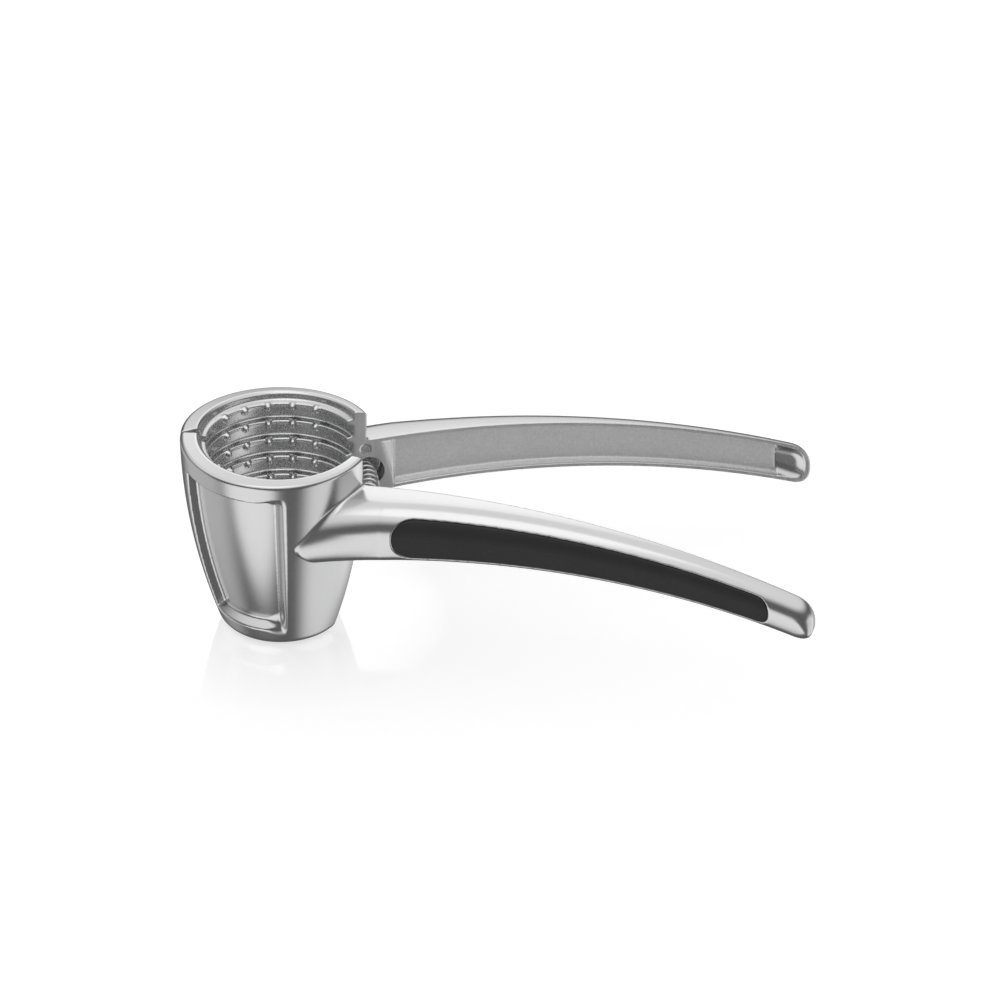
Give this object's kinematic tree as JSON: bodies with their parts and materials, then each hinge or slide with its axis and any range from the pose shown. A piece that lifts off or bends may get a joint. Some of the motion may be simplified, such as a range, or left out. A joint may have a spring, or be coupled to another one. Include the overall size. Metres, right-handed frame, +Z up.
{
  "type": "cup nutcracker",
  "caption": "Hand nutcracker: a split cast cup with ringed, studded walls on two curved handles, hinged at one side and held open by a coil spring.",
  "frame": {"origin": "middle of the open object's bounding box, on the surface that it stands on", "axes": "+X from the cup to the handle tips, +Y from the front half to the rear half, +Z up"},
  "size_m": [0.2016, 0.1022, 0.0686],
  "materials": {
    "cast_metal": "satin bead-blasted",
    "grip_plastic": "matte",
    "steel": "bright drawn wire"
  },
  "bodies": {
    "rear_half": {"rear_jaw": "cast_metal", "rear_grip": "grip_plastic", "hinge_pin": "steel", "return_spring": "steel"},
    "front_half": {"front_jaw": "cast_metal", "front_grip": "grip_plastic"}
  },
  "joints": [
    {"name": "jaw_hinge", "type": "hinge", "parent": "rear_half", "child": "front_half", "pos_m": [-0.10008, 0, 0.06863], "axis": [-0.1908, 0, 0.9816], "range_deg": [0, 27.5], "stiffness_Nm_per_rad": 1.6, "springref_deg": -9.17, "deforming": ["return_spring"]}
  ]
}
